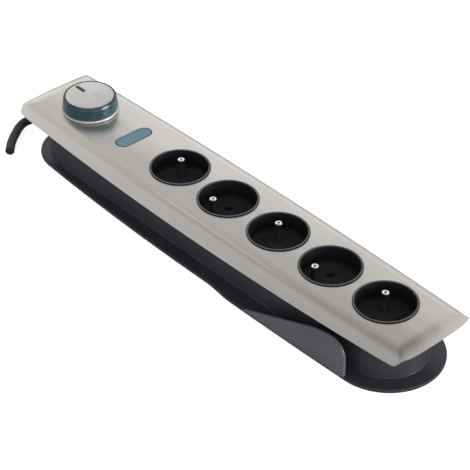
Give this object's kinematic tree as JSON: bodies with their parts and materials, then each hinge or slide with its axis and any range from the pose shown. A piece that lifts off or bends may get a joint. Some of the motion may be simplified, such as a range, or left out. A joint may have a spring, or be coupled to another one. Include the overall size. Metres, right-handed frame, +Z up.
{
  "type": "desk power strip",
  "caption": "Long low power strip with a brushed steel top, round earthed socket wells set at 45 degrees, a blue-green rotary switch knob and a pilot lens, on a dark moulded foot.",
  "frame": {"origin": "on the desk under the middle of the top plate", "axes": "+Z up, +X along the strip away from the switch, +Y to the far long side"},
  "size_m": [0.4029, 0.0868, 0.0519],
  "materials": {
    "plate": "brushed",
    "casing": "semi-gloss",
    "well": "polished",
    "knob": "translucent",
    "base_ring": "satin",
    "pointer": "polished",
    "lens": "translucent",
    "pin": "polished",
    "rubber": "matte",
    "contact": "satin",
    "screw": "zinc plated",
    "inner": "matte",
    "board": "matte",
    "core_live": "matte",
    "core_neutral": "matte",
    "core_earth": "matte"
  },
  "bodies": {
    "strip": {"top_plate": "plate", "upper_housing": "casing", "foot_tub": "casing", "knob_base_ring": "base_ring", "switch_body": "inner", "switch_terminal_in": "contact", "switch_terminal_out": "contact", "pilot_lens": "lens", "pilot_lamp": "inner", "pilot_board": "board", "mains_cable": "rubber", "cable_grommet": "rubber", "cord_clamp": "casing", "clamp_screw_1": "screw", "clamp_screw_2": "screw", "live_core": "core_live", "neutral_core": "core_neutral", "earth_core": "core_earth", "switched_live_link": "core_live", "shutter_guide": "inner", "live_busbar": "contact", "neutral_busbar": "contact", "earth_busbar": "contact", "socket_well_1": "well", "earth_pin_1": "pin", "socket_well_2": "well", "earth_pin_2": "pin", "socket_well_3": "well", "earth_pin_3": "pin", "socket_well_4": "well", "earth_pin_4": "pin", "socket_well_5": "well", "earth_pin_5": "pin", "housing_screw_1": "screw", "housing_screw_2": "screw", "housing_screw_3": "screw", "housing_screw_4": "screw", "housing_screw_5": "screw", "housing_screw_6": "screw", "rubber_foot_1": "rubber", "rubber_foot_2": "rubber", "rubber_foot_3": "rubber", "rubber_foot_4": "rubber"},
    "knob": {"knob_ring": "knob", "knob_disc": "plate", "knob_pointer": "pointer", "switch_spindle": "plate", "switch_rotor": "pointer", "wiper_contact": "contact"},
    "shutter_1": {"safety_shutter_1": "well"},
    "shutter_2": {"safety_shutter_2": "well"},
    "shutter_3": {"safety_shutter_3": "well"},
    "shutter_4": {"safety_shutter_4": "well"},
    "shutter_5": {"safety_shutter_5": "well"}
  },
  "joints": [
    {"name": "knob_turn", "type": "hinge", "parent": "strip", "child": "knob", "pos_m": [-0.1472, 0, 0.045], "axis": [0, 0, 1], "range_deg": [0, 90]},
    {"name": "shutter_slide_1", "type": "slide", "parent": "strip", "child": "shutter_1", "axis": [0.7071, -0.7071, 0], "range_m": [0, 0.0054], "stiffness_N_per_m": 60},
    {"name": "shutter_slide_2", "type": "slide", "parent": "strip", "child": "shutter_2", "axis": [0.7071, 0.7071, 0], "range_m": [0, 0.0054], "stiffness_N_per_m": 60},
    {"name": "shutter_slide_3", "type": "slide", "parent": "strip", "child": "shutter_3", "axis": [0.7071, -0.7071, 0], "range_m": [0, 0.0054], "stiffness_N_per_m": 60},
    {"name": "shutter_slide_4", "type": "slide", "parent": "strip", "child": "shutter_4", "axis": [0.7071, 0.7071, 0], "range_m": [0, 0.0054], "stiffness_N_per_m": 60},
    {"name": "shutter_slide_5", "type": "slide", "parent": "strip", "child": "shutter_5", "axis": [0.7071, -0.7071, 0], "range_m": [0, 0.0054], "stiffness_N_per_m": 60}
  ]
}
